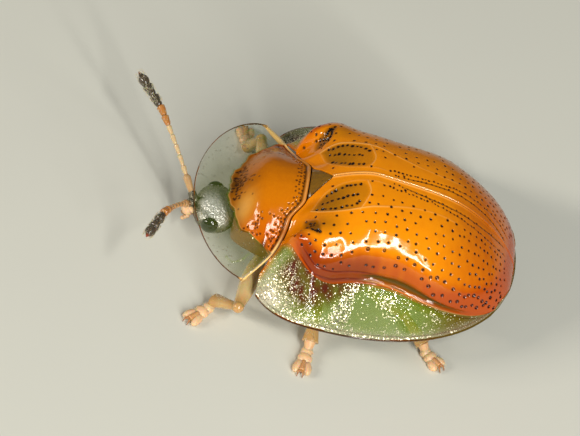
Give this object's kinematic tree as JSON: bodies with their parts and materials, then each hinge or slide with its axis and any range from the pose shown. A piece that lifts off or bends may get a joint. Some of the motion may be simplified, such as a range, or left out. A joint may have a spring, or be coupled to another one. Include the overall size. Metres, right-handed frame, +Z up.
{
  "type": "tortoise beetle",
  "caption": "Life-size still model of a golden tortoise beetle, with a domed amber shell, clear rim, clear neck shield, feelers and legs set for standing",
  "frame": {"origin": "on the floor plane under the middle of the bounding box", "axes": "+Z up; the head points to -Y; the animal's left side is +X"},
  "size_m": [0.0068, 0.0087, 0.0029],
  "materials": {
    "amber_shell": "glossy amber-orange horn with fine dark pits, clear at the margin",
    "amber_shield": "satin amber horn in the middle, clear glossy margin",
    "olive_plate": "glossy olive brown",
    "brown_underside": "satin dark brown",
    "dark_metallic_head": "dark with a silver and gold metallic sheen",
    "black_eye": "glossy black with fine facets",
    "pale_mouth": "soft pale pink",
    "tan_feeler": "pale glossy articles, tan then near black at the club",
    "honey_leg": "glossy translucent honey",
    "peach_foot": "soft peach with short pale hairs"
  },
  "bodies": {
    "root": {"abdomen": "brown_underside", "antenna_left": "tan_feeler", "antenna_right": "tan_feeler", "elytron_left": "amber_shell", "elytron_right": "amber_shell", "eye_left": "black_eye", "eye_right": "black_eye", "foot_front_left": "peach_foot", "foot_front_right": "peach_foot", "foot_hind_left": "peach_foot", "foot_hind_right": "peach_foot", "foot_mid_left": "peach_foot", "foot_mid_right": "peach_foot", "head": "dark_metallic_head", "leg_front_left": "honey_leg", "leg_front_right": "honey_leg", "leg_hind_left": "honey_leg", "leg_hind_right": "honey_leg", "leg_mid_left": "honey_leg", "leg_mid_right": "honey_leg", "mouthparts": "pale_mouth", "pronotum": "amber_shield", "prothorax": "brown_underside", "scutellum": "olive_plate", "thorax": "brown_underside"}
  },
  "joints": []
}
